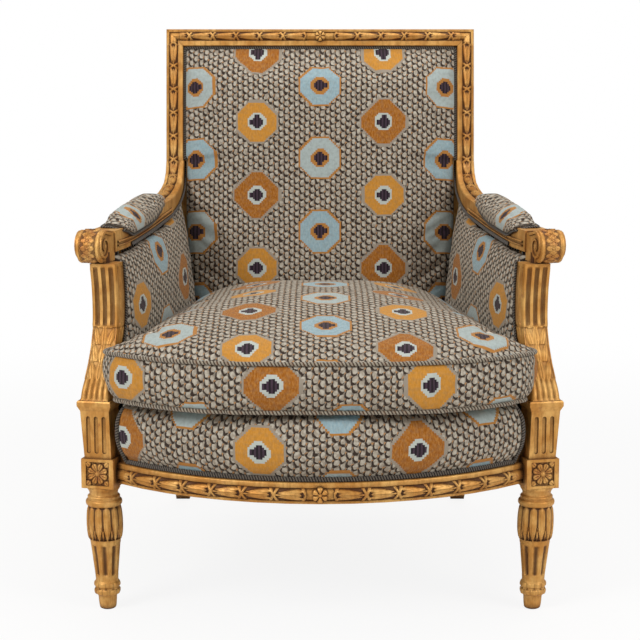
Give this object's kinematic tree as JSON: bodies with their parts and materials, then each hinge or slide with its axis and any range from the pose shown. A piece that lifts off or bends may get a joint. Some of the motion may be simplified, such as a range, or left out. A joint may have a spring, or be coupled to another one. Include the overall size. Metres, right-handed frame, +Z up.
{
  "type": "bergere chair",
  "caption": "Wide armchair with a carved gilt frame, closed padded arms with scrolled ends, bowed seat front, turned fluted front legs and a loose seat cushion.",
  "frame": {"origin": "on the ground, under the middle of the chair's box", "axes": "+X to the side, towards the arm on the right of a front view; +Y from the bowed seat front to the back; +Z up"},
  "size_m": [0.7524, 0.86, 0.9037],
  "materials": {
    "gilt_wood": "carved beech, antique gilt with brown glaze in the recesses",
    "beech": "plain sawn beech, unfinished",
    "upholstery": "woven chenille with a small tick ground and stepped medallions",
    "piping": "twisted cord sewn into the seams",
    "jute": "woven jute",
    "braid": "double braid, dark grey brown",
    "spring_steel": "coppered steel wire, dull",
    "filling": "feather and hair filling in plain cotton",
    "black_cotton": "thin black cotton"
  },
  "bodies": {
    "frame": {"front_leg_right": "gilt_wood", "front_leg_left": "gilt_wood", "back_post_right": "gilt_wood", "back_post_left": "gilt_wood", "arm_right": "gilt_wood", "arm_left": "gilt_wood", "arm_post_right": "gilt_wood", "arm_post_left": "gilt_wood", "side_rail_right": "gilt_wood", "side_rail_left": "gilt_wood", "crest_rail": "gilt_wood", "front_rail": "gilt_wood", "back_seat_rail": "gilt_wood", "lower_back_rail": "beech", "arm_stuffing_rail_right": "beech", "arm_stuffing_rail_left": "beech", "front_corner_block_right": "beech", "front_corner_block_left": "beech", "rear_corner_block_right": "beech", "rear_corner_block_left": "beech", "seat_webbing": "jute", "dust_cover": "black_cotton", "seat_spring_1": "spring_steel", "seat_spring_2": "spring_steel", "seat_spring_3": "spring_steel", "seat_spring_4": "spring_steel", "seat_spring_5": "spring_steel", "seat_spring_6": "spring_steel", "seat_spring_7": "spring_steel", "seat_spring_8": "spring_steel", "seat_spring_9": "spring_steel", "seat_hessian": "jute", "seat_stuffing": "filling", "deck_cover": "upholstery", "deck_gimp": "braid", "back_webbing": "jute", "back_pad": "upholstery", "back_gimp": "braid", "outside_back_panel": "upholstery", "inside_arm_pad_right": "upholstery", "inside_arm_pad_left": "upholstery", "outside_arm_panel_right": "upholstery", "outside_arm_panel_left": "upholstery", "armrest_pad_right": "upholstery", "armrest_pad_left": "upholstery", "armrest_gimp_right": "braid", "armrest_gimp_left": "braid", "arm_gimp_right": "braid", "arm_gimp_left": "braid", "post_gimp_right": "braid", "post_gimp_left": "braid"},
    "cushion": {"cushion_cover": "upholstery", "cushion_core": "filling", "cushion_zip": "braid", "cushion_welt_bottom": "piping", "cushion_welt_top": "piping"}
  },
  "joints": [
    {"name": "cushion_lift", "type": "slide", "parent": "frame", "child": "cushion", "axis": [0, -0.7071, 0.7071], "range_m": [0, 0.3]}
  ]
}
